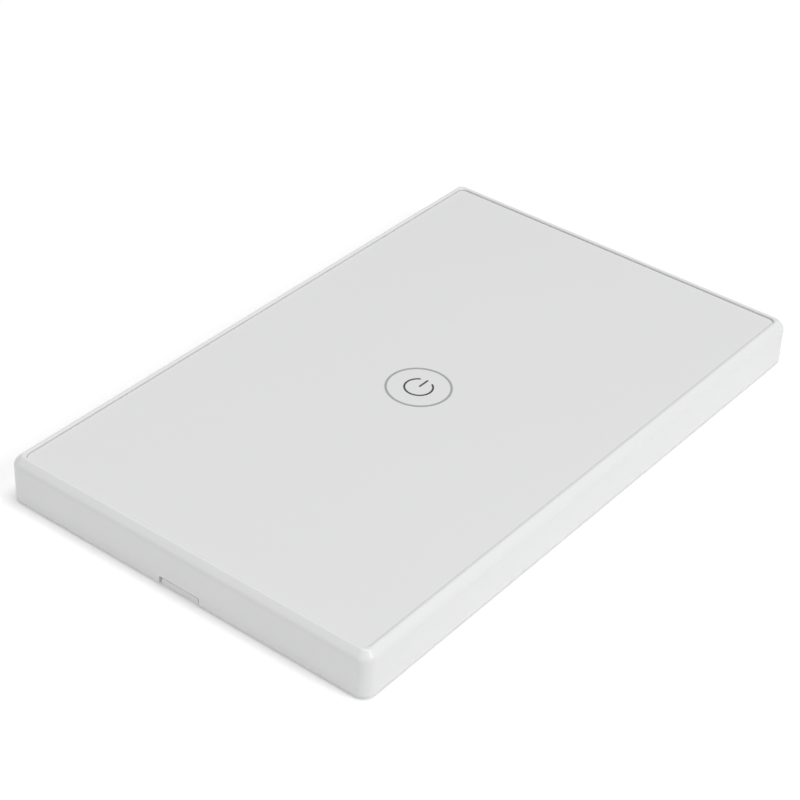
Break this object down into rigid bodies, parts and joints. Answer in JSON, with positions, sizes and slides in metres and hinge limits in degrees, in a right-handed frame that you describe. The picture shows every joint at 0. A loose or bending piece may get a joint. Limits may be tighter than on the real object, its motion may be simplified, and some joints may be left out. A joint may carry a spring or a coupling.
{
  "type": "touch wall switch",
  "caption": "Slim battery touch wall switch: glass front in a raised white frame with a pry slot, snapped over a back plate that holds the board and coin cell.",
  "frame": {"origin": "rear face that lies on the wall, under the middle of the plate", "axes": "+Z out of the wall through the glass, +Y up the wall along the long side, +X across"},
  "size_m": [0.074, 0.12, 0.0086],
  "materials": {
    "frame_plastic": "smooth semi-gloss white moulding",
    "panel_glass": "polished toughened glass with a white back print",
    "backing_print": "opaque white print",
    "adhesive_tape": "matt",
    "mark_grey": "fired print",
    "mark_dark": "fired print",
    "base_plastic": "fine spark-eroded texture",
    "pad_foam": "closed-cell foam",
    "board_laminate": "solder mask over laminate",
    "screw_steel": "zinc plated",
    "spring_steel": "nickel plated wire",
    "clear_acrylic": "polished, slightly milky",
    "led_resin": "cast resin",
    "chip_black": "moulded epoxy",
    "module_laminate": "solder mask over laminate",
    "shield_tin": "tin plated",
    "antenna_copper": "bare copper wire",
    "capacitor_ceramic": "fired ceramic with tinned ends",
    "resistor_black": "glazed film with tinned ends",
    "tantalum_yellow": "moulded epoxy",
    "holder_black": "fine matt moulding",
    "cell_steel": "nickel plated, lightly brushed",
    "contact_nickel": "nickel plated spring steel",
    "switch_black": "matt moulding",
    "button_brown": "matt moulding"
  },
  "bodies": {
    "base": {"back_plate": "base_plastic", "wall_pads": "pad_foam", "control_board": "board_laminate", "board_screws": "screw_steel", "touch_spring": "spring_steel", "light_guide": "clear_acrylic", "indicator_leds": "led_resin", "touch_chip": "chip_black", "regulator_chip": "chip_black", "radio_module": "module_laminate", "radio_shield": "shield_tin", "antenna_coil": "antenna_copper", "crystal": "shield_tin", "chip_capacitors": "capacitor_ceramic", "chip_resistors": "resistor_black", "storage_capacitor": "tantalum_yellow", "battery_holder": "holder_black", "coin_cell": "cell_steel", "negative_contact": "contact_nickel", "positive_contact": "contact_nickel", "pair_switch": "switch_black"},
    "cover": {"front_frame": "frame_plastic", "glass_panel": "panel_glass", "glass_backing": "backing_print", "glass_tape": "adhesive_tape", "touch_ring_mark": "mark_grey", "power_symbol_mark": "mark_dark"},
    "button": {"pair_button": "button_brown"}
  },
  "joints": [
    {"name": "cover_lift", "type": "slide", "parent": "base", "child": "cover", "axis": [0, 0, 1], "range_m": [0, 0.025]},
    {"name": "pair_button_press", "type": "slide", "parent": "base", "child": "button", "axis": [0, 0, -1], "range_m": [0, 0.00025], "stiffness_N_per_m": 2000, "springref_m": -0.0001}
  ]
}
